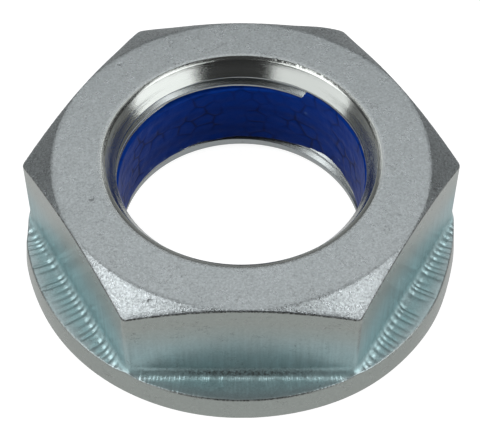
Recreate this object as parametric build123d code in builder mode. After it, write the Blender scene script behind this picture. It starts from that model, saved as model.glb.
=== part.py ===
from build123d import *
from math import cos, radians, tan
import os

# Hex flange lock nut, M32 x 1.5, for a 46 mm spanner.
# The nut is one zinc-plated steel forging: a hexagon with a chamfered crown, standing on a
# round flange hardly wider than its corners.  A nylon locking patch is fused into the thread
# all the way round.
# Millimetres.  Origin on the thread's axis in the bearing face, +Z up towards the crown,
# two corners on the X axis and a flat facing -Y.

# ---- hexagon ----
across_flats = 46.0
nut_height = 15.7
corner_rounding = 0.8            # radius down each of the six corners
crown_inset = 0.17               # the crown's land stops this far inside the flats
crown_angle = 26.4               # fall of the crown's chamfer, in degrees

# ---- flange ----
flange_overhang = 0.62           # beyond the hexagon's sharp corners, at the bearing face
flange_rim_height = 3.45
flange_rim_draft = 5.8           # degrees, narrowing upwards
root_fillet = 1.3                # between the flats and the flange
flange_edge_break = 0.25         # at the bearing face

# ---- thread ----
thread_diameter = 32.0
thread_pitch = 1.5
minor_diameter_rule = 1.0825     # ISO metric: minor = major - 1.0825 x pitch

# ---- mouth at the crown: a shallow facet, then a steep one down to the thread ----
mouth_overhang = 0.9             # beyond the thread's major radius
mouth_facet_width = 0.55
mouth_facet_depth = 0.18
mouth_depth = 2.13               # crown to the first full thread

# ---- countersink in the bearing face ----
base_countersink_overhang = 0.3  # beyond the thread's major radius
base_countersink_depth = 0.87

# ---- nylon patch: fills the thread from root to crest between two bare ends ----
bare_thread_below = 1.45         # above the countersink of the bearing face
bare_thread_above = 1.1          # below the mouth

# ---- worked out ----
apothem = across_flats / 2
corner_radius = apothem / cos(radians(30))
thread_major_radius = thread_diameter / 2
thread_minor_radius = thread_major_radius - minor_diameter_rule * thread_pitch / 2

flange_radius = corner_radius + flange_overhang
rim_top_radius = flange_radius - flange_rim_height * tan(radians(flange_rim_draft))
crown_radius = apothem - crown_inset
crown_fall = (rim_top_radius - crown_radius) * tan(radians(crown_angle))
blank_radius = corner_radius + 2 * root_fillet + flange_overhang

mouth_radius = thread_major_radius + mouth_overhang
mouth_bottom = nut_height - mouth_depth
base_countersink_radius = thread_major_radius + base_countersink_overhang
patch_bottom = base_countersink_depth + bare_thread_below
patch_top = mouth_bottom - bare_thread_above

# ---- nut body: one forging ----
with BuildPart() as nut_body:
    # flange blank, wider than the finished rim so that the root fillet runs out over it
    with BuildSketch():
        Circle(blank_radius)
    extrude(amount=flange_rim_height)

    # hexagon
    with BuildSketch():
        hexagon = RegularPolygon(apothem, side_count=6, major_radius=False)
        fillet(hexagon.vertices(), corner_rounding)
    extrude(amount=nut_height)

    # root fillet round the foot of the hexagon
    foot = nut_body.edges(Select.NEW).group_by(Axis.Z)[0]
    fillet(foot, root_fillet)

    # turned outline: broken base edge, drafted rim and chamfered crown
    with BuildSketch(Plane.XZ):
        with BuildLine():
            Polyline(
                (0, 0),
                (flange_radius - flange_edge_break, 0),
                (flange_radius, flange_edge_break),
                (rim_top_radius, flange_rim_height),
                (rim_top_radius, nut_height - crown_fall),
                (crown_radius, nut_height),
                (0, nut_height),
                close=True,
            )
        make_face()
    revolve(axis=Axis.Z, mode=Mode.INTERSECT)

    # through hole at the thread's minor radius, with the faceted mouth and the base countersink
    with BuildSketch(Plane.XZ):
        with BuildLine():
            Polyline(
                (0, 0),
                (base_countersink_radius, 0),
                (thread_minor_radius, base_countersink_depth),
                (thread_minor_radius, mouth_bottom),
                (mouth_radius - mouth_facet_width, nut_height - mouth_facet_depth),
                (mouth_radius, nut_height),
                (0, nut_height),
                close=True,
            )
        make_face()
    revolve(axis=Axis.Z, mode=Mode.SUBTRACT)

    # turns of the thread that the patch fills, out to the thread's root
    with BuildSketch(Plane.XY.offset(patch_bottom)):
        Circle(thread_major_radius)
    extrude(amount=patch_top - patch_bottom, mode=Mode.SUBTRACT)

# ---- nylon patch: a full ring, flush with the thread's crests ----
with BuildPart() as nylon_patch:
    with BuildSketch(Plane.XY.offset(patch_bottom)):
        Circle(thread_major_radius)
        Circle(thread_minor_radius, mode=Mode.SUBTRACT)
    extrude(amount=patch_top - patch_bottom)

# ---- files ----
os.makedirs("parts", exist_ok=True)
nut_body.part.label = "nut_body"
export_step(nut_body.part, "parts/nut_body.step")
nylon_patch.part.label = "nylon_patch"
export_step(nylon_patch.part, "parts/nylon_patch.step")
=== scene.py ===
"""Looks of a hex flange lock nut: zinc-plated steel with a blue nylon patch in its thread.

Lengths are in millimetres until they reach a mesh, a lamp or the camera, where MM turns them
into metres.  Angles round the thread's axis are in degrees from +X towards +Y.
"""

from math import pi, radians, tan

import bmesh
import bpy
import numpy as np
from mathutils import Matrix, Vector


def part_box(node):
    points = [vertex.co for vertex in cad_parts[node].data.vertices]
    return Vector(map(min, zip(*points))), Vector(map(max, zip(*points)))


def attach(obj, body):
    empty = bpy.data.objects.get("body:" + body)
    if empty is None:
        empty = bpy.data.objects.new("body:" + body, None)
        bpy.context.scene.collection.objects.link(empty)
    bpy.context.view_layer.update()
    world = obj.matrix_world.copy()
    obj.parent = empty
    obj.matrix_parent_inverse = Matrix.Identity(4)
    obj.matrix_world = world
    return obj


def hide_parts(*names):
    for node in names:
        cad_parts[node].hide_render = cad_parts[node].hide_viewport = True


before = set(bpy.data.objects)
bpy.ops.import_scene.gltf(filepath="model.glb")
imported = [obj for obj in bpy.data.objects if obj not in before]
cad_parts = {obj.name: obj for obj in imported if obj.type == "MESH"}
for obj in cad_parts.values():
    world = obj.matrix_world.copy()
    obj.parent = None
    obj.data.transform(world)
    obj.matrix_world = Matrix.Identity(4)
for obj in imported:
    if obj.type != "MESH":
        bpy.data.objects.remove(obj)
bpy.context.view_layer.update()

MM = 0.001
TURN = 360.0

# ---- sizes of the steel, as in the part's own source ----
NUT_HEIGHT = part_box("nut_body")[1].z / MM
FLANGE_RADIUS = -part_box("nut_body")[0].x / MM
MAJOR_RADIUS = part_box("nylon_patch")[1].x / MM
PITCH = 1.5
MINOR_RULE = 1.0825              # ISO metric: minor = major - 1.0825 x pitch, as diameters
MINOR_RADIUS = MAJOR_RADIUS - MINOR_RULE * PITCH / 2
APOTHEM = 23.0
CORNER_ROUNDING = 0.8
CROWN_INSET = 0.17
CROWN_ANGLE = 26.4
CROWN_RADIUS = APOTHEM - CROWN_INSET
CROWN_SLOPE = tan(radians(CROWN_ANGLE))
RIM_HEIGHT = 3.45
RIM_DRAFT = 5.8
RIM_TOP_RADIUS = FLANGE_RADIUS - RIM_HEIGHT * tan(radians(RIM_DRAFT))
ROOT_FILLET = 1.3
EDGE_BREAK = 0.25
MOUTH_OVERHANG = 0.9
MOUTH_DEPTH = 2.13
MOUTH_RADIUS = MAJOR_RADIUS + MOUTH_OVERHANG
FACET_WIDTH = 0.55
FACET_DEPTH = 0.18
FACET_RADIUS = MOUTH_RADIUS - FACET_WIDTH
LIP_HEIGHT = NUT_HEIGHT - MOUTH_DEPTH
BASE_MOUTH_OVERHANG = 0.3
BASE_MOUTH_RADIUS = MAJOR_RADIUS + BASE_MOUTH_OVERHANG
BASE_MOUTH_DEPTH = 0.87

# ---- columns of the meshes round the axis ----
OUTER_COLUMNS = 1440
MOUTH_COLUMNS = 720
THREAD_COLUMNS = 360
FILM_COLUMNS = 540


def angles(columns):
    """Angle of each column, in degrees."""
    return np.arange(columns) * TURN / columns


def smooth_step(value, start, end):
    """0 before start, 1 after end, smooth between."""
    t = np.clip((value - start) / (end - start), 0, 1)
    return t * t * (3 - 2 * t)


def waves(angle, lowest, highest, seed):
    """Random waves round the axis, of orders lowest to highest, with a height of about 1."""
    draw = np.random.default_rng(seed)
    orders = draw.integers(lowest, highest + 1, 24)
    phases = draw.uniform(0, 2 * pi, 24)
    total = sum(np.cos(np.radians(angle) * n + p) for n, p in zip(orders, phases))
    return total / 24 ** 0.5


# ---------------------------------------------------------------------------------------------
# Shapes round the axis
# ---------------------------------------------------------------------------------------------
def folded(angle):
    """Angle from the nearest flat's normal, 0 to 30 degrees, in radians."""
    return np.radians(np.abs((angle + 120) % 60 - 30))


def hexagon_radius(angle, apothem, rounding):
    """Distance from the axis to a hexagon with rounded corners."""
    phi = folded(angle)
    centre_n = apothem - rounding
    centre_t = centre_n * tan(pi / 6)
    along = np.cos(phi) * centre_n + np.sin(phi) * centre_t
    on_arc = along + np.sqrt(np.maximum(rounding ** 2 - centre_n ** 2 - centre_t ** 2 + along ** 2, 0))
    return np.where(apothem * np.tan(phi) <= centre_t, apothem / np.cos(phi), on_arc)


def distance_off_hexagon(angle, radius):
    """How far a point outside the nut's hexagon is from it."""
    n, t = radius * np.cos(folded(angle)), radius * np.sin(folded(angle))
    centre_n = APOTHEM - CORNER_ROUNDING
    centre_t = centre_n * tan(pi / 6)
    return np.where(t <= centre_t, n - APOTHEM, np.hypot(n - centre_n, t - centre_t) - CORNER_ROUNDING)


def foot_height(distance):
    """Height of the root fillet and the flange's top at a distance from the hexagon."""
    inside = ROOT_FILLET - np.minimum(distance, ROOT_FILLET)
    return RIM_HEIGHT + ROOT_FILLET - np.sqrt(ROOT_FILLET ** 2 - inside ** 2)


def rim_radius(height, angle):
    """Radius of the drafted rim."""
    share = np.clip((height - EDGE_BREAK) / (RIM_HEIGHT - EDGE_BREAK), 0, 1)
    return FLANGE_RADIUS + (RIM_TOP_RADIUS - FLANGE_RADIUS) * share + rim_wander(angle)


# The metal that flowed out under each flat left folds in the flange's top.  They are narrow
# valleys that start on the root fillet and fade towards the rim, coarse on some sides, fine on others.
FOLD_DEPTH = 0.11
COARSE_FOLDS, FINE_FOLDS = 0.92, 0.5       # from one fold to the next
COARSE_SHARE, FINE_SHARE = 0.8, 0.5        # how deep each kind is, as a share of the depth
COARSE_VALLEY, FINE_VALLEY = 0.25, 0.24    # half width of a valley, as a share of the spacing
FOLD_WANDER = 0.2                          # as a share of the spacing
FOLD_REACH = 3.2                           # from the flat out to where a fold ends
FOLDS_HALF_WIDTH = 12.8                    # along the flat, from its middle to the last fold


def forging_folds(angle, radius, distance):
    """Height that the folds add to the flange's top: never above zero."""
    phi = np.radians((angle + 120) % 60 - 30)
    flat = np.floor((angle % TURN + 120) / 60)
    along = radius * np.sin(phi) * np.sqrt((APOTHEM + ROOT_FILLET / 2) / (radius * np.cos(phi)))
    fine = (flat % 3 == 0)
    spacing = np.where(fine, FINE_FOLDS, COARSE_FOLDS)
    phase = along / spacing + FOLD_WANDER * waves(angle, 15, 50, 11) + 0.37 * flat
    valley = np.exp(-((phase % 1 - 0.5) / np.where(fine, FINE_VALLEY, COARSE_VALLEY)) ** 2)
    share = np.where(fine, FINE_SHARE, COARSE_SHARE)
    strength = np.clip(0.7 + 0.4 * waves(angle, 40, 130, 12), 0.1, 1.3) * share
    end = FOLD_REACH + 0.5 * waves(angle, 30, 90, 13)
    reach = smooth_step(distance, 0.0, 0.6) * (1 - smooth_step(distance, end - 1.3, end + 0.4))
    return -FOLD_DEPTH * valley * strength * reach * smooth_step(FOLDS_HALF_WIDTH - np.abs(along), 0, 1.0)


# The photograph's outline stands higher at the two back corners, so the chamfer is raised there:
# angle in degrees and height gained.
CROWN_LIFTS = ((121, 0.32), (64, 0.42))
CROWN_LIFT_SPREAD = 7


def crown_lift(angle):
    """Height that the chamfer gains at the edge of the flats."""
    return sum(lift * np.exp(-((angle - corner) / CROWN_LIFT_SPREAD) ** 2) for corner, lift in CROWN_LIFTS)


# The photograph's rim lies a little off a true circle, which may be the nut's form or an error of
# the fitted camera: centre and spread in degrees, and size, of each bulge.
RIM_BULGES = ((188, 9, 0.2), (228, 30, 0.07), (301, 16, 0.2), (344, 11, -0.26))


def rim_wander(angle):
    """How far the rim is from its true circle, without leaving the true square box."""
    off = [(angle - centre + 180) % TURN - 180 for centre, _, _ in RIM_BULGES]
    bulge = sum(size * np.exp(-(o / spread) ** 2) for o, (_, spread, size) in zip(off, RIM_BULGES))
    widest = np.maximum(np.abs(np.cos(np.radians(angle))), np.abs(np.sin(np.radians(angle))))
    return np.minimum(bulge, FLANGE_RADIUS / widest - FLANGE_RADIUS)


# ---------------------------------------------------------------------------------------------
# The thread: right-handed, 60 degree flanks
# ---------------------------------------------------------------------------------------------
THREAD_DEPTH = MAJOR_RADIUS - MINOR_RADIUS
FLANK_RISE = THREAD_DEPTH * tan(radians(30))
GROOVE_WIDTH = 0.75 * PITCH
GROOVE_TOP_AT_BACK = LIP_HEIGHT - 0.12     # upper edge of the first groove, at 90 degrees
THREAD_BOTTOM = BASE_MOUTH_DEPTH
THREAD_TOP = LIP_HEIGHT - 0.06
RUN_OUT_START, RUN_OUT_END = 0.35, 0.8     # above the thread's bottom
ROW_GAP = 0.01                             # the least between a row and the rings above and below
THREAD_TURNED = 0.35
# Rows of one pitch, as heights over the groove's lower edge: a pair about each corner of the profile.
ROWS_IN_PITCH = np.array([-0.02, 0.02, 0.45, 0.488, 0.638, 0.676, 1.105, 1.145])


def helix_height(angle):
    """Height of the lower edge of the first groove below the mouth."""
    return GROOVE_TOP_AT_BACK - GROOVE_WIDTH + PITCH * (angle - 90) / TURN


def thread_radius(angle, height):
    """Radius of the bare thread, which runs out just above the base countersink."""
    up = (height - helix_height(angle)) % PITCH
    depth = np.minimum(up, GROOVE_WIDTH - up) / FLANK_RISE * THREAD_DEPTH
    run_out = smooth_step(height, THREAD_BOTTOM + RUN_OUT_START, THREAD_BOTTOM + RUN_OUT_END)
    return MINOR_RADIUS + np.clip(depth, 0, THREAD_DEPTH) * run_out


# ---------------------------------------------------------------------------------------------
# Meshes
# ---------------------------------------------------------------------------------------------
class Shell:
    """A closed surface made of rings of points round the axis, with marks for its material."""

    def __init__(self, mark_names):
        self.mark_names = mark_names
        self.points = []
        self.marks = []
        self.faces = []
        self.size = 0

    def ring(self, angle, radius, height, **marks):
        """Adds one ring and returns its point numbers."""
        turn = np.radians(angle)
        columns = len(angle)
        radii, heights = (np.broadcast_to(value, columns) for value in (radius, height))
        self.points.append(np.stack([radii * np.cos(turn), radii * np.sin(turn), heights], 1))
        self.marks.append(np.stack([np.broadcast_to(marks.get(n, 0.0), columns) for n in self.mark_names], 1))
        numbers = np.arange(self.size, self.size + columns)
        self.size += columns
        return numbers

    def bridge(self, first, second):
        """Joins two rings.  One may have a whole number of times the other's points."""
        if len(first) == len(second):
            ahead_first, ahead_second = np.roll(first, -1), np.roll(second, -1)
            self.faces += np.stack([first, ahead_first, ahead_second, second], 1).tolist()
            return
        coarse, fine = (first, second) if len(first) < len(second) else (second, first)
        times = len(fine) // len(coarse)
        for i, here in enumerate(coarse):
            ahead = coarse[(i + 1) % len(coarse)]
            fan = [fine[(i * times + k) % len(fine)] for k in range(times + 1)]
            middle = times // 2
            self.faces += [[here, fan[k], fan[k + 1]] for k in range(middle)]
            self.faces.append([here, fan[middle], ahead])
            self.faces += [[ahead, fan[k], fan[k + 1]] for k in range(middle, times)]

    def make(self, name, sharp_angle):
        """Turns the rings into a Blender object."""
        mesh = bpy.data.meshes.new(name)
        mesh.from_pydata((np.concatenate(self.points) * MM).tolist(), [], self.faces)
        for column, mark in enumerate(self.mark_names):
            layer = mesh.attributes.new(mark, "FLOAT", "POINT")
            layer.data.foreach_set("value", np.concatenate(self.marks)[:, column].astype(np.float32))
        work = bmesh.new()
        work.from_mesh(mesh)
        bmesh.ops.delete(work, geom=[v for v in work.verts if not v.link_faces], context="VERTS")
        bmesh.ops.recalc_face_normals(work, faces=work.faces)
        work.to_mesh(mesh)
        work.free()
        mesh.polygons.foreach_set("use_smooth", [True] * len(mesh.polygons))
        mesh.set_sharp_from_angle(angle=radians(sharp_angle))
        piece = bpy.data.objects.new(name, mesh)
        bpy.context.scene.collection.objects.link(piece)
        return piece


def add_thread(shell, bottom_ring, top_ring):
    """Joins two rings by the thread's helical rows, which stop where they meet the rings."""
    angle = angles(THREAD_COLUMNS)
    turns = int((THREAD_TOP - THREAD_BOTTOM) / PITCH) + 3
    lowest = helix_height(0) - PITCH * np.ceil((helix_height(0) - THREAD_BOTTOM) / PITCH + 1)
    rows = (lowest - helix_height(0)) + np.concatenate([ROWS_IN_PITCH + PITCH * k for k in range(turns)])
    numbers = np.zeros((THREAD_COLUMNS, len(rows)), int)
    for j, row in enumerate(rows):
        height = helix_height(angle) + row
        inside = (height > THREAD_BOTTOM + ROW_GAP) & (height < THREAD_TOP - ROW_GAP)
        kept = np.clip(height, THREAD_BOTTOM, THREAD_TOP)
        ring = shell.ring(angle, thread_radius(angle, kept), kept, turned=THREAD_TURNED)
        numbers[:, j] = np.where(inside, ring, np.where(height > THREAD_BOTTOM + 1, top_ring, bottom_ring))
    per_pitch = len(ROWS_IN_PITCH)
    wrapped = np.full(len(rows), top_ring[0])
    wrapped[:-per_pitch] = numbers[0, per_pitch:]
    ahead = np.vstack([numbers[1:], wrapped])
    for here, there in zip(numbers, ahead):
        for j in range(len(rows) - 1):
            corners = [here[j], there[j], there[j + 1], here[j + 1]]
            unique = [c for k, c in enumerate(corners) if c not in corners[:k]]
            if len(unique) > 2:
                shell.faces.append(unique)


LAND_GRAIN = 0.55
LAND_RADII = (MOUTH_RADIUS + 0.45, 19.0, 21.0, 22.4)
BROKEN_EDGE = 0.13                         # width of the worn edge between chamfer and flat
WORN_CORNER = 300.4                        # angle of the corner edge that is rubbed dark
FRONT = 270                                # angle of the flat that faces the camera
FILLET_TURNS = (14, 27, 39, 50, 60, 70, 80, 89)             # degrees round the root fillet, from the flat
FILLET_PAINTED_SHADE = (0.35, 0.6, 0.8, 0.75, 0.35, 0.0, 0.0, 0.0)   # painted shade of each, at the front
RAGGED_SIDE = 66                           # angle where the mouth's edge is most ragged


def steel_nut():
    """The forging: hexagon, crown, flange, mouth, thread and base, as one closed surface."""
    shell = Shell(["grain", "turned", "teal", "warm", "edge", "pale"])
    outer, mouth, thread = angles(OUTER_COLUMNS), angles(MOUTH_COLUMNS), angles(THREAD_COLUMNS)
    rings = []

    def row(angle, radius, height, **marks):
        rings.append(shell.ring(angle, radius, height, **marks))

    # crown: flat land, soft edge, chamfer down to the flats
    for radius in LAND_RADII:
        row(outer, radius, NUT_HEIGHT, grain=LAND_GRAIN)
    land_edge = CROWN_RADIUS - 0.12 + 0.04 * waves(outer, 40, 160, 6)
    row(outer, land_edge, NUT_HEIGHT - 0.005, grain=LAND_GRAIN)
    flats = hexagon_radius(outer, APOTHEM, CORNER_ROUNDING)
    lift = crown_lift(outer)
    crown_edge = NUT_HEIGHT - (flats - CROWN_RADIUS) * CROWN_SLOPE + lift
    nicks = np.abs(0.022 * waves(outer, 120, 420, 7))
    for share in (0.06, 0.25, 0.5, 0.75):
        reach = CROWN_RADIUS + (flats - BROKEN_EDGE - CROWN_RADIUS) * share
        row(outer, reach, NUT_HEIGHT - 0.01 - (reach - CROWN_RADIUS) * CROWN_SLOPE + lift * share, grain=1.0)
    row(outer, flats - BROKEN_EDGE, crown_edge + BROKEN_EDGE * CROWN_SLOPE - 0.5 * nicks, grain=1.0)
    row(outer, flats - 0.35 * BROKEN_EDGE, crown_edge - 0.05 * BROKEN_EDGE - nicks, grain=0.7, edge=1.0)
    row(outer, flats, crown_edge - BROKEN_EDGE - nicks, grain=0.3, warm=1.0, edge=1.0)
    row(outer, flats, crown_edge - 1.8 * BROKEN_EDGE, grain=0.12, warm=1.0)

    # flats, down to the root fillet: warm at the top, turning to painted teal reflection towards the foot
    foot_top = RIM_HEIGHT + ROOT_FILLET
    worn_corner = np.exp(-((outer - WORN_CORNER) / 0.45) ** 2)
    for share in (0.2, 0.4, 0.6, 0.8, 1.0):
        row(outer, flats, crown_edge - BROKEN_EDGE + (foot_top - crown_edge + BROKEN_EDGE) * share,
            grain=0.2, teal=smooth_step(share, 0.15, 0.85), warm=1 - smooth_step(share, 0.3, 0.8),
            edge=worn_corner * (0.6 if share < 0.7 else 0.0))

    # root fillet and flange top, out to the rim, with painted teal reflection near the fillet, painted shade
    # on the front fillet and painted light on the flange away from the front
    to_rim = distance_off_hexagon(outer, RIM_TOP_RADIUS + rim_wander(outer))
    widest = RIM_TOP_RADIUS - APOTHEM
    fillet_steps = ROOT_FILLET * (1 - np.cos(np.radians(FILLET_TURNS))) / widest
    painted_fillet_shade = dict(zip(fillet_steps, FILLET_PAINTED_SHADE))
    front = np.exp(-((outer - FRONT) / 19) ** 4)
    flange_steps = np.linspace(1.55 / widest, 0.945, 8)
    for step in [*fillet_steps, *flange_steps]:
        distance = to_rim * step
        radius = hexagon_radius(outer, APOTHEM + distance, CORNER_ROUNDING + distance)
        height = foot_height(distance) + forging_folds(outer, radius, distance)
        row(outer, radius, height, grain=0.35, teal=1 - 0.6 * smooth_step(step, 0.4, 1.0),
            edge=front * painted_fillet_shade.get(step, 0.0), pale=(1 - front) * smooth_step(step, 0.15, 0.4))

    # rim, broken base edge and bearing face
    rim_top = foot_height(to_rim) + forging_folds(outer, RIM_TOP_RADIUS, to_rim)
    burr = np.abs(0.025 * waves(outer, 150, 500, 8))
    edge = RIM_TOP_RADIUS + rim_wander(outer)
    soft = np.minimum(0.16, 0.048 * to_rim)
    row(outer, edge - soft, rim_top - 0.01, grain=0.4, teal=0.4, warm=0.5)
    # the rim's top edge is worn dark all round, with painted shade added towards the front
    row(outer, edge - 0.35 * soft - 0.5 * burr, rim_top - 0.3 * soft - 0.03 - burr, grain=0.6, warm=0.5,
        edge=0.3 + 0.6 * front)
    row(outer, edge, rim_top - soft - 0.04 - burr, grain=0.4, warm=1.0, edge=0.3 + 0.4 * front)
    row(outer, edge, rim_top - 0.28, grain=0.15, warm=1.0)
    for height in (0.85 * RIM_HEIGHT, 0.5 * RIM_HEIGHT, EDGE_BREAK + 0.05):
        row(outer, np.maximum(rim_radius(height, outer), edge), height, grain=0.2, warm=1.0)
    row(outer, rim_radius(0, outer) - 0.01, EDGE_BREAK - 0.03, grain=0.15, warm=1.0)
    row(outer, rim_radius(0, outer) - EDGE_BREAK, 0.0, grain=0.15, warm=1.0)
    for radius in (FLANGE_RADIUS - 0.7, 22.0, BASE_MOUTH_RADIUS + 0.5):
        row(outer, radius, 0.0, grain=0.25)

    # base countersink
    row(thread, BASE_MOUTH_RADIUS, 0.0, turned=1.0)
    row(thread, BASE_MOUTH_RADIUS - 0.05, 0.04, turned=1.0)
    row(thread, MINOR_RADIUS + 0.06, BASE_MOUTH_DEPTH - 0.05, turned=1.0)
    row(thread, MINOR_RADIUS, BASE_MOUTH_DEPTH, turned=1.0)
    bottom_ring = rings[-1]

    # lip, mouth facets and back to the crown
    inner_slope = (FACET_RADIUS - MINOR_RADIUS) / (NUT_HEIGHT - FACET_DEPTH - LIP_HEIGHT)
    top_ring = shell.ring(thread, thread_radius(thread, THREAD_TOP), THREAD_TOP, turned=1.0)
    rings.append(top_ring)
    row(thread, MINOR_RADIUS, LIP_HEIGHT, turned=1.0)
    row(thread, MINOR_RADIUS + 0.015, LIP_HEIGHT + 0.05, turned=1.0)
    # painted light: the mouth's facets are lightened at the left and right as seen from the front, where
    # their tool marks are also deepened
    sides = np.exp(-(((mouth + 85) % 180 - 90) / 20) ** 2)
    facing = {"turned": 1 + 0.6 * sides, "pale": 2 * sides}
    for rise in (0.12, 0.9):
        row(mouth, MINOR_RADIUS + rise * inner_slope, LIP_HEIGHT + rise, **facing)
    row(mouth, FACET_RADIUS - 0.02, NUT_HEIGHT - FACET_DEPTH - 0.05, **facing)
    row(mouth, FACET_RADIUS + 0.06, NUT_HEIGHT - FACET_DEPTH + 0.019, **facing)
    row(mouth, MOUTH_RADIUS - 0.06, NUT_HEIGHT - 0.02, **facing)
    rough_side = 0.15 + 0.85 * np.exp(-(((mouth - RAGGED_SIDE + 180) % TURN - 180) / 28) ** 2)
    chipped = MOUTH_RADIUS + 0.04 * waves(mouth, 60, 300, 5) * rough_side
    row(mouth, chipped, NUT_HEIGHT, turned=0.4, grain=0.3)

    for first, second in zip(rings, rings[1:] + rings[:1]):
        if first is bottom_ring:
            add_thread(shell, bottom_ring, top_ring)
        else:
            shell.bridge(first, second)
    return shell.make("zinc_nut", 50)


# ---------------------------------------------------------------------------------------------
# The nylon: a fused film that fills the thread and stands a little proud of its crests
# ---------------------------------------------------------------------------------------------
FILM_START = 57.0                # angle where the film begins, in the first groove
FILM_START_RUN = 3.0             # degrees over which its blunt end rises
FILM_PROUD = 0.17
FILM_EDGE = 0.4                  # width of its rounded edge
FILM_SINK = 0.02                 # how far its outer side lies inside the steel
EDGE_SHARE = 0.06                # of its height, at either edge, with closer rows
EDGE_ROWS = (8, 66, 8)           # rows from stop to stop, both counted
CRACK_WIDTH = 0.32
CRACK_RELIEF = 0.05              # depth of a crack
CELLS_ROUND = 40
COURSES, FIRST_COURSE, COURSE_RISE = 6, 2.3, 2.0
# Pale specks: angle in degrees and height of each, and their common radius.
SPECKS = ((56.5, 9.7), (33, 5.5), (16, 7.2), (142, 2.6), (132, 2.4), (122, 2.5), (112, 2.5))
SPECK_RADIUS = 0.2


def film_top(angle):
    """Upper edge of the film.  It starts in the first groove and drops a turn before its start."""
    turned = (angle - FILM_START) % TURN / TURN
    low = GROOVE_TOP_AT_BACK - PITCH - 0.1
    first = helix_height(FILM_START) + GROOVE_WIDTH - 0.03
    rise = smooth_step(turned, 0.38, 0.97)
    after = low - 0.6 * smooth_step(turned, 0.0, 0.25) * (1 - rise) + (first - low) * rise
    blunt = smooth_step(turned * TURN, 0.0, FILM_START_RUN)
    return first * (1 - blunt) + after * blunt


def film_bottom(angle):
    """Lower edge of the film."""
    raised = 1.15 * np.exp(-(((angle - 40 + 180) % TURN - 180) / 20) ** 2)
    return 2.17 + 0.47 * np.cos(np.radians(angle - 10)) + raised + 0.05 * waves(angle, 8, 40, 21)


def blotches(angle, height, slowest, fastest, seed):
    """Random relief on the bore's wall, alike in all directions, with a height of about 1."""
    draw = np.random.default_rng(seed)
    heading, pace = draw.uniform(0, 2 * pi, 20), draw.uniform(slowest, fastest, 20)
    orders = np.round(pace * np.cos(heading) * MINOR_RADIUS)
    climbs = pace * np.sin(heading)
    phases = draw.uniform(0, 2 * pi, 20)
    total = sum(np.cos(np.radians(angle) * n + k * height + p) for n, k, p in zip(orders, climbs, phases))
    return total / 10 ** 0.5


def crack_pattern(angle, height):
    """1 in the middle of a crack of the film, 0 away from the cracks, which part it into cells."""
    draw = np.random.default_rng(31)
    nearest, second = np.full(len(angle), 9.0), np.full(len(angle), 9.0)
    for course in range(COURSES):
        for cell in range(CELLS_ROUND):
            place = (cell + 0.5 * (course % 2) + draw.uniform(-0.33, 0.33)) * TURN / CELLS_ROUND
            middle = FIRST_COURSE + COURSE_RISE * course + draw.uniform(-0.5, 0.5)
            off = (angle - place + 180) % TURN - 180
            far = np.hypot(MINOR_RADIUS * np.radians(off), 1.2 * (height - middle))
            second = np.minimum(second, np.maximum(nearest, far))
            nearest = np.minimum(nearest, far)
    strength = np.clip(0.4 + 0.5 * blotches(angle, height, 0.5, 1.6, 33), 0, 1)
    return np.exp(-((second - nearest) / CRACK_WIDTH) ** 2) * strength


def band(height, level, width):
    """1 at a level of the film, fading above and below it."""
    return np.exp(-((height - level) / width) ** 2)


def specks(angle, height):
    """1 on each pale speck, fading round it."""
    total = 0.0
    for place, level in SPECKS:
        off = MINOR_RADIUS * np.radians(angle - place)
        total = total + np.exp(-(off ** 2 + (height - level) ** 2) / SPECK_RADIUS ** 2)
    return total


def nylon_film():
    """The patch as one closed surface: a bare inner side, and an outer side on the thread."""
    shell = Shell(["crack", "speck"])
    angle = angles(FILM_COLUMNS)
    top, bottom = film_top(angle), film_bottom(angle)
    stops = (0, EDGE_SHARE, 1 - EDGE_SHARE, 1)
    spans = [np.linspace(a, b, rows)[:-1] for a, b, rows in zip(stops, stops[1:], EDGE_ROWS)]
    shares = np.concatenate([*spans, [1.0]])
    inner, outer = [], []
    for share in shares:
        height = bottom + (top - bottom) * share
        steel = thread_radius(angle, height)
        to_edge = np.minimum(height - bottom, top - height)
        edge = np.clip(1 - to_edge / FILM_EDGE, 0, 1) ** 2
        crack = crack_pattern(angle, height)
        swell = 0.006 * np.cos(2 * pi * (height - helix_height(angle)) / PITCH) \
            + 0.014 * blotches(angle, height, 1.2, 4.5, 71)
        bare = MINOR_RADIUS - FILM_PROUD + swell + CRACK_RELIEF * crack
        radius = bare + (np.maximum(steel, MINOR_RADIUS) - FILM_SINK - bare) * edge
        # darker blue in two bands, at 8.0 and 4.4 mm, carried by the crack mark
        darker_bands = 0.3 * band(height, 8.0, 0.45) + 0.3 * band(height, 4.4, 0.6)
        inner.append(shell.ring(angle, np.minimum(radius, steel - FILM_SINK), height,
                                crack=np.minimum(crack + darker_bands, 1), speck=specks(angle, height)))
        outer.append(shell.ring(angle, steel + FILM_SINK, height))
    rings = inner + outer[::-1]
    for first, second in zip(rings, rings[1:] + rings[:1]):
        shell.bridge(first, second)
    return shell.make("nylon_film", 60)


# ---------------------------------------------------------------------------------------------
# Materials
# ---------------------------------------------------------------------------------------------
class NodeTree:
    """Shader nodes under construction, with a short way to add them."""

    def __init__(self, tree):
        self.tree = tree
        self.tree.nodes.clear()

    def add(self, kind, inputs=None, **settings):
        node = self.tree.nodes.new("ShaderNode" + kind)
        for key, value in settings.items():
            setattr(node, key, value)
        for socket, value in (inputs or {}).items():
            self.put(node, socket, value)
        return node

    def put(self, node, socket, value):
        if isinstance(value, bpy.types.NodeSocket):
            self.tree.links.new(value, node.inputs[socket])
        else:
            node.inputs[socket].default_value = value


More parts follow.
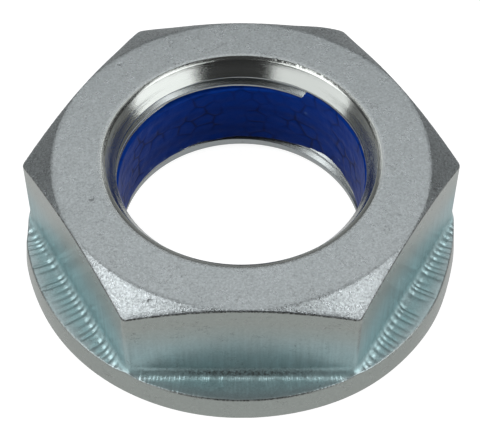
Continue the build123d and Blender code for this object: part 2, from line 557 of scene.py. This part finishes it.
class Finish(NodeTree):
    """A material under construction."""

    def __init__(self, name):
        self.material = bpy.data.materials.new(name)
        self.material.use_nodes = True
        super().__init__(self.material.node_tree)
        self.shader = self.add("BsdfPrincipled")
        self.output = self.add("OutputMaterial", {"Surface": self.shader.outputs[0]})

    def math(self, operation, first, second=0.0, third=0.0, use_clamp=False):
        inputs = {0: first, 1: second, 2: third}
        return self.add("Math", inputs, operation=operation, use_clamp=use_clamp).outputs[0]

    def mark(self, name):
        return self.add("Attribute", attribute_name=name).outputs["Fac"]

    def position(self, factor=(1 / MM, 1 / MM, 1 / MM)):
        """The point's place in millimetres, stretched by factor."""
        place = self.add("TexCoord").outputs["Object"]
        return self.add("VectorMath", {0: place, 1: factor}, operation="MULTIPLY").outputs[0]

    def noise(self, where, scale, detail=2.0, roughness=0.5):
        inputs = {"Vector": where, "Scale": scale, "Detail": detail, "Roughness": roughness}
        return self.add("TexNoise", inputs).outputs["Fac"]

    def between(self, factor, low, high):
        """low where factor is 0, high where it is 1: numbers or colours."""
        if isinstance(low, tuple) or isinstance(high, tuple) or getattr(low, "type", "") == "RGBA":
            mixed = self.add("Mix", {0: factor, 6: low, 7: high}, data_type="RGBA")
            return mixed.outputs[2]
        return self.add("MapRange", {0: factor, 3: low, 4: high}).outputs[0]

    def span(self, value, start, end, low, high, **settings):
        """low where value is start, high where it is end."""
        inputs = {0: value, 1: start, 2: end, 3: low, 4: high}
        return self.add("MapRange", inputs, **settings).outputs[0]

    def tinted(self, colour, shade):
        """The colour made lighter or darker by a number."""
        grey = self.add("CombineXYZ", {0: shade, 1: shade, 2: shade}).outputs[0]
        return self.add("VectorMath", {0: colour, 1: grey}, operation="MULTIPLY").outputs[0]

    def bump(self, height, depth, normal=None):
        """Relief of depth millimetres."""
        inputs = {"Height": height, "Distance": depth * MM, "Strength": 1.0}
        node = self.add("Bump", inputs)
        if normal is not None:
            self.put(node, "Normal", normal)
        return node.outputs[0]


def linear(red, green, blue):
    """A colour given as it looks on screen, 0 to 255."""
    def channel(value):
        value /= 255
        return value / 12.92 if value < 0.04045 else ((value + 0.055) / 1.055) ** 2.4
    return (channel(red), channel(green), channel(blue), 1.0)


# Knocks in the crown: centre, radius and depth, in millimetres.
DENTS = (
    ((-17.6, -6.8, 15.7), 0.5, 0.05),
    ((-15.4, 15.4, 15.7), 0.4, 0.03),
    ((18.4, -9.1, 15.7), 0.35, 0.03),
    ((15.6, 16.6, 15.7), 0.4, 0.03),
    ((-10.2, -21.4, 15.26), 0.45, 0.06),
)
SAND_DEPTH, TOOL_MARK_DEPTH = 0.05, 0.011
PAINTED_LIGHT_GAIN = 0.28                 # stands in for light that these lamps don't give
STREAK = (1.7 / MM, 1.7 / MM, 0.14 / MM)


def zinc_colour(finish, place):
    """Colour of the plating: cloudy grey or warm by place, gritty, worn and scratched, with painted teal
    reflection near the flange, painted shade at the front of the fillet and rim, and painted light in the
    mouth and on the flange.
    """
    grain, turned, teal = finish.mark("grain"), finish.mark("turned"), finish.mark("teal")
    warm, edge, pale = finish.mark("warm"), finish.mark("edge"), finish.mark("pale")

    cloud = finish.noise(place, 0.16, 3.0)
    colour = finish.between(cloud, linear(164, 171, 173), linear(171, 177, 179))
    colour = finish.between(warm, colour, linear(159, 165, 161))
    colour = finish.between(turned, colour, linear(174, 178, 175))
    # painted reflection: a teal tint, in patches, on the lower flats, the fillet and the flange
    patches = finish.between(finish.noise(place, 0.35, 2.0), 0.6, 1.0)
    colour = finish.between(finish.math("MULTIPLY", teal, patches), colour, linear(152, 184, 187))
    speckle = finish.between(finish.noise(place, 4.2, 2.0), -0.6, 1.9)
    # darkened by wear on the crown's edge, the rim and one corner, and by painted shade on the front fillet
    # and towards the front of the rim's edge
    wear_and_painted_shade = finish.math("MULTIPLY", edge, speckle, use_clamp=True)
    colour = finish.between(wear_and_painted_shade, colour, linear(62, 62, 60))

    grit = finish.math("SUBTRACT", finish.noise(place, 3.8, 2.0, 0.8), 0.5)
    dust = finish.math("MULTIPLY", grit, finish.math("MULTIPLY", grain, 2.0))
    # painted light: lightens the mouth's sides and the flange away from the front
    shade = finish.math("MULTIPLY_ADD", pale, PAINTED_LIGHT_GAIN, finish.math("ADD", 1.0, dust))
    flow = finish.noise(finish.position(STREAK), 1.0, 2.0, 0.6)
    streaked = finish.math("SUBTRACT", teal, pale, use_clamp=True)
    flow = finish.math("MULTIPLY", finish.between(flow, 0.3, -0.3), streaked)
    colour = finish.tinted(colour, finish.math("ADD", shade, flow))
    return finish.between(hairlines(finish, place, turned), colour, linear(90, 92, 90))


def hairlines(finish, place, turned):
    """Fine scratches, in patches, and none on turned surfaces."""
    thin = finish.math("ABSOLUTE", finish.math("SUBTRACT", finish.noise(place, 0.55, 3.0, 0.6), 0.5))
    line = finish.span(thin, 0.0, 0.011, 1.0, 0.0)
    patchy = finish.span(finish.noise(place, 0.3, 1.0), 0.47, 0.6, 0.0, 0.5)
    unturned = finish.math("SUBTRACT", 1.0, turned, use_clamp=True)
    return finish.math("MULTIPLY", finish.math("MULTIPLY", line, patchy), unturned)


def zinc_relief(finish, place):
    """Normal of the plating: sand grain, knocks in the crown and rings of the turning tool."""
    sand = finish.math("MULTIPLY", finish.noise(place, 4.6, 3.0, 0.65), finish.mark("grain"))
    relief = finish.bump(sand, SAND_DEPTH)

    pits = 0.0
    for centre, size, depth in DENTS:
        far = finish.add("VectorMath", {0: place, 1: centre}, operation="DISTANCE").outputs["Value"]
        pit = finish.span(far, 0.0, size, depth, 0.0, interpolation_type="SMOOTHSTEP")
        pits = finish.math("ADD", pits, pit)
    relief = finish.bump(pits, -1.0, relief)

    x, y, z = finish.add("SeparateXYZ", {0: place}).outputs
    squares = finish.math("ADD", finish.math("MULTIPLY", x, x), finish.math("MULTIPLY", y, y))
    drift = finish.noise(place, 0.1, 1.0)
    rings = finish.add("CombineXYZ", {0: finish.math("SQRT", squares), 1: z, 2: drift}).outputs[0]
    strength = finish.math("POWER", finish.mark("turned"), 2.5)
    marks = finish.math("MULTIPLY", finish.noise(rings, 6.5, 4.0, 0.8), strength)
    return finish.bump(marks, TOOL_MARK_DEPTH, relief)


def zinc_finish():
    """Bright zinc with a sandy grain, turned marks in the mouth and a painted teal reflection near the
    flange.
    """
    finish = Finish("zinc")
    place = finish.position()
    turned, teal = finish.mark("turned"), finish.mark("teal")
    finish.put(finish.shader, "Base Color", zinc_colour(finish, place))
    metal = finish.math("MULTIPLY_ADD", teal, -0.18, 0.88)
    finish.put(finish.shader, "Metallic", finish.math("MULTIPLY_ADD", turned, 0.06, metal, use_clamp=True))
    rough = finish.between(finish.noise(place, 0.8, 3.0), 0.25, 0.31)
    rough = finish.math("ADD", rough, finish.math("MULTIPLY", teal, 0.08))
    smoothed = finish.math("MULTIPLY", finish.math("MINIMUM", turned, 1.0), 0.14)
    finish.put(finish.shader, "Roughness", finish.math("SUBTRACT", rough, smoothed))
    finish.put(finish.shader, "Normal", zinc_relief(finish, place))
    return finish.material


def nylon_finish():
    """Deep blue fused nylon: satin, cloudy, darker in its cracks and in two bands at set heights."""
    finish = Finish("nylon")
    place = finish.position()
    cloud = finish.noise(place, 0.7, 4.0, 0.6)
    colour = finish.between(cloud, linear(0, 48, 132), linear(0, 62, 166))
    # the crack mark also holds the two darker bands
    colour = finish.between(finish.mark("crack"), colour, linear(0, 32, 96))
    speck = finish.math("MULTIPLY", finish.mark("speck"), 0.5, use_clamp=True)
    colour = finish.between(speck, colour, linear(96, 130, 178))
    finish.put(finish.shader, "Base Color", colour)
    finish.put(finish.shader, "Roughness", finish.between(cloud, 0.5, 0.38))
    finish.put(finish.shader, "Specular IOR Level", 0.08)
    lumps = finish.noise(place, 2.5, 3.0, 0.6)
    finish.put(finish.shader, "Normal", finish.bump(lumps, 0.05))
    return finish.material


# ---------------------------------------------------------------------------------------------
# Studio
# ---------------------------------------------------------------------------------------------
def card(name, corners, material):
    """A flat sheet of the studio, from its four corners in millimetres."""
    mesh = bpy.data.meshes.new(name)
    mesh.from_pydata([tuple(c * MM for c in corner) for corner in corners], [], [(0, 1, 2, 3)])
    mesh.materials.append(material)
    sheet = bpy.data.objects.new(name, mesh)
    bpy.context.scene.collection.objects.link(sheet)


def lamp(name, place, turn, size, glow):
    """A rectangular lamp that is seen in the nut at brightness glow.  Millimetres and degrees."""
    light = bpy.data.lights.new(name, "AREA")
    light.shape = "RECTANGLE"
    light.size, light.size_y = size[0] * MM, size[1] * MM
    light.energy = glow * pi * light.size * light.size_y
    holder = bpy.data.objects.new(name, light)
    holder.location = Vector(place) * MM
    holder.rotation_euler = [radians(angle) for angle in turn]
    holder.visible_camera = False
    bpy.context.scene.collection.objects.link(holder)


FLOOR_SEEN = 0.92
FLOOR_MIRRORED, FAR_FLOOR_MIRRORED = 0.54, 0.12
FLOOR_POOL = (42, 110)           # painted pool of light on the floor, seen only in reflections: it fades between these distances from the axis
FLOOR_HALF, FLOOR_LEVEL = 2500, -0.05


def floor_finish():
    """Pale floor: seen as white, and still darkened by the object's shadow.  In reflections it shows a
    painted pool of light round the nut.
    """
    finish = Finish("floor")
    finish.tree.nodes.remove(finish.shader)
    path = finish.add("LightPath")
    mirrored = finish.math("MAXIMUM", path.outputs["Is Glossy Ray"], path.outputs["Is Transmission Ray"])
    place = finish.add("TexCoord").outputs["Object"]
    far = finish.add("VectorMath", {0: place}, operation="LENGTH").outputs["Value"]
    near, away = (edge * MM for edge in FLOOR_POOL)
    pool = finish.span(far, near, away, FLOOR_MIRRORED, FAR_FLOOR_MIRRORED)
    seen = finish.math("MULTIPLY_ADD", path.outputs["Is Camera Ray"], FLOOR_SEEN,
                       finish.math("MULTIPLY", mirrored, pool))
    diffuse = finish.add("BsdfDiffuse", {"Color": (0.3, 0.3, 0.3, 1.0)})
    glow = finish.add("Emission", {"Color": (1.0, 1.0, 1.0, 1.0), "Strength": seen})
    both = finish.add("AddShader", {0: diffuse.outputs[0], 1: glow.outputs[0]})
    finish.put(finish.output, "Surface", both.outputs[0])
    return finish.material


def studio():
    """Floor, backdrop light and lamps."""
    signs = ((-1, -1), (1, -1), (1, 1), (-1, 1))
    card("floor", [(x * FLOOR_HALF, y * FLOOR_HALF, FLOOR_LEVEL) for x, y in signs], floor_finish())
    world_light()
    # Two boxes hang over the nut with a dark gap between them, and a dimmer one behind it.
    hung = 600
    lamp("box_left", (-0.75 * hung, -0.11 * hung, hung), (0, 0, 0), (0.96 * hung, 0.62 * hung), 3.15)
    lamp("box_right", (0.66 * hung, -0.11 * hung, hung), (0, 0, 0), (0.76 * hung, 0.62 * hung), 2.8)
    lamp("box_back", (0, 0.78 * hung, hung), (0, 0, 0), (1.0 * hung, 0.8 * hung), 1.12)
    # Two low panels stand at the front left and front right.
    lamp("panel_left", (-590, -380, 240), (90, 0, -57), (900, 480), 1.5)
    lamp("panel_right", (620, -320, 240), (90, 0, 63), (700, 480), 2.0)


def world_light():
    """Dim surroundings: darkest towards the front, where the photographer stands."""
    world = bpy.context.scene.world or bpy.data.worlds.new("World")
    bpy.context.scene.world = world
    world.use_nodes = True
    nodes = NodeTree(world.node_tree)
    _, y, z = nodes.add("SeparateXYZ", {0: nodes.add("TexCoord").outputs["Generated"]}).outputs
    behind = nodes.add("MapRange", {0: y, 1: -0.6, 2: 0.9, 3: 0.056, 4: 0.4}).outputs[0]
    low = nodes.add("MapRange", {0: z, 1: 0.15, 2: 0.6, 3: 1.0, 4: 0.1}).outputs[0]
    dim = nodes.add("Math", {0: behind, 1: low}, operation="MULTIPLY").outputs[0]
    seen = nodes.add("LightPath").outputs["Is Camera Ray"]
    strength = nodes.add("MapRange", {0: seen, 3: dim, 4: 1.0}).outputs[0]
    sky = nodes.add("Background", {"Color": (1.0, 1.0, 1.0, 1.0), "Strength": strength}).outputs[0]
    nodes.add("OutputWorld", {"Surface": sky})


def camera():
    """The photograph's viewpoint.  Its frame is 480 x 439 pixels."""
    frame_width, focal_pixels, sensor = 480, 1509.5, 36.0
    eye, target = Vector((-0.17, -120.24, 151.36)), Vector((-0.163, 0.049, 3.41))
    data = bpy.data.cameras.new("camera")
    data.sensor_width = sensor
    data.lens = focal_pixels / frame_width * sensor
    data.clip_start, data.clip_end = 0.01, 20.0
    holder = bpy.data.objects.new("camera", data)
    holder.location = eye * MM
    holder.rotation_euler = (target - eye).to_track_quat("-Z", "Y").to_euler()
    bpy.context.scene.collection.objects.link(holder)
    bpy.context.scene.camera = holder


nut = steel_nut()
nut.data.materials.append(zinc_finish())
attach(nut, "root")
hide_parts("nut_body")

film = nylon_film()
film.data.materials.append(nylon_finish())
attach(film, "root")
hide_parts("nylon_patch")

studio()
camera()
bpy.context.scene.view_settings.view_transform = "Standard"
